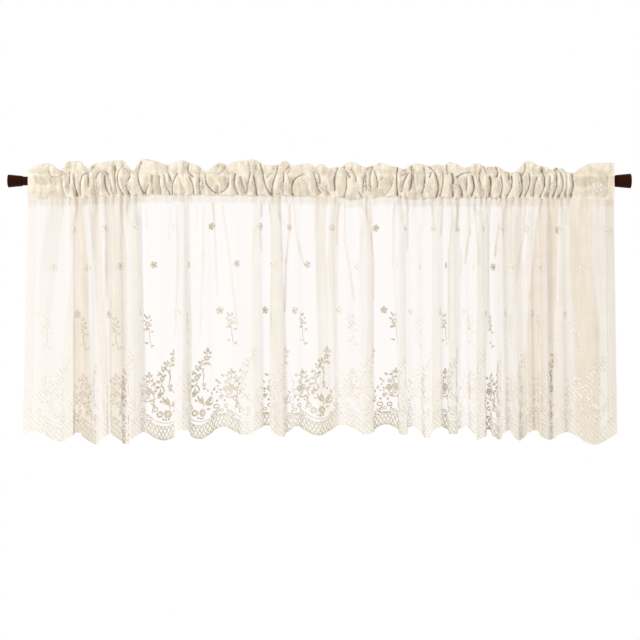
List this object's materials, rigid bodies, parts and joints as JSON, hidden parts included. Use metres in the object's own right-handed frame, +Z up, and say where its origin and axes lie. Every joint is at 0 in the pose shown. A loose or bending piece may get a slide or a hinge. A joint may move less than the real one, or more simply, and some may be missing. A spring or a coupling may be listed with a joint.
{
  "type": "lace valance on curtain rod",
  "caption": "Sheer ivory lace valance with a scalloped hem and ruffled rod pocket, gathered on a dark brown telescoping curtain rod with round end caps.",
  "frame": {"origin": "centre of the left end cap's flat end face, on the rod's axis", "axes": "+X along the rod towards the right end cap, +Z up, -Y towards the room, the side that the valance shows"},
  "size_m": [1.006, 0.0565, 0.4614],
  "materials": {
    "lace": "sheer ivory warp-knit lace",
    "rod_metal": "dark brown enamel",
    "cap_plastic": "dark brown, satin"
  },
  "bodies": {
    "root": {"valance_cloth": "lace", "rod_inner_tube": "rod_metal", "rod_outer_tube": "rod_metal", "end_cap_left": "cap_plastic", "end_cap_right": "cap_plastic"}
  },
  "joints": []
}
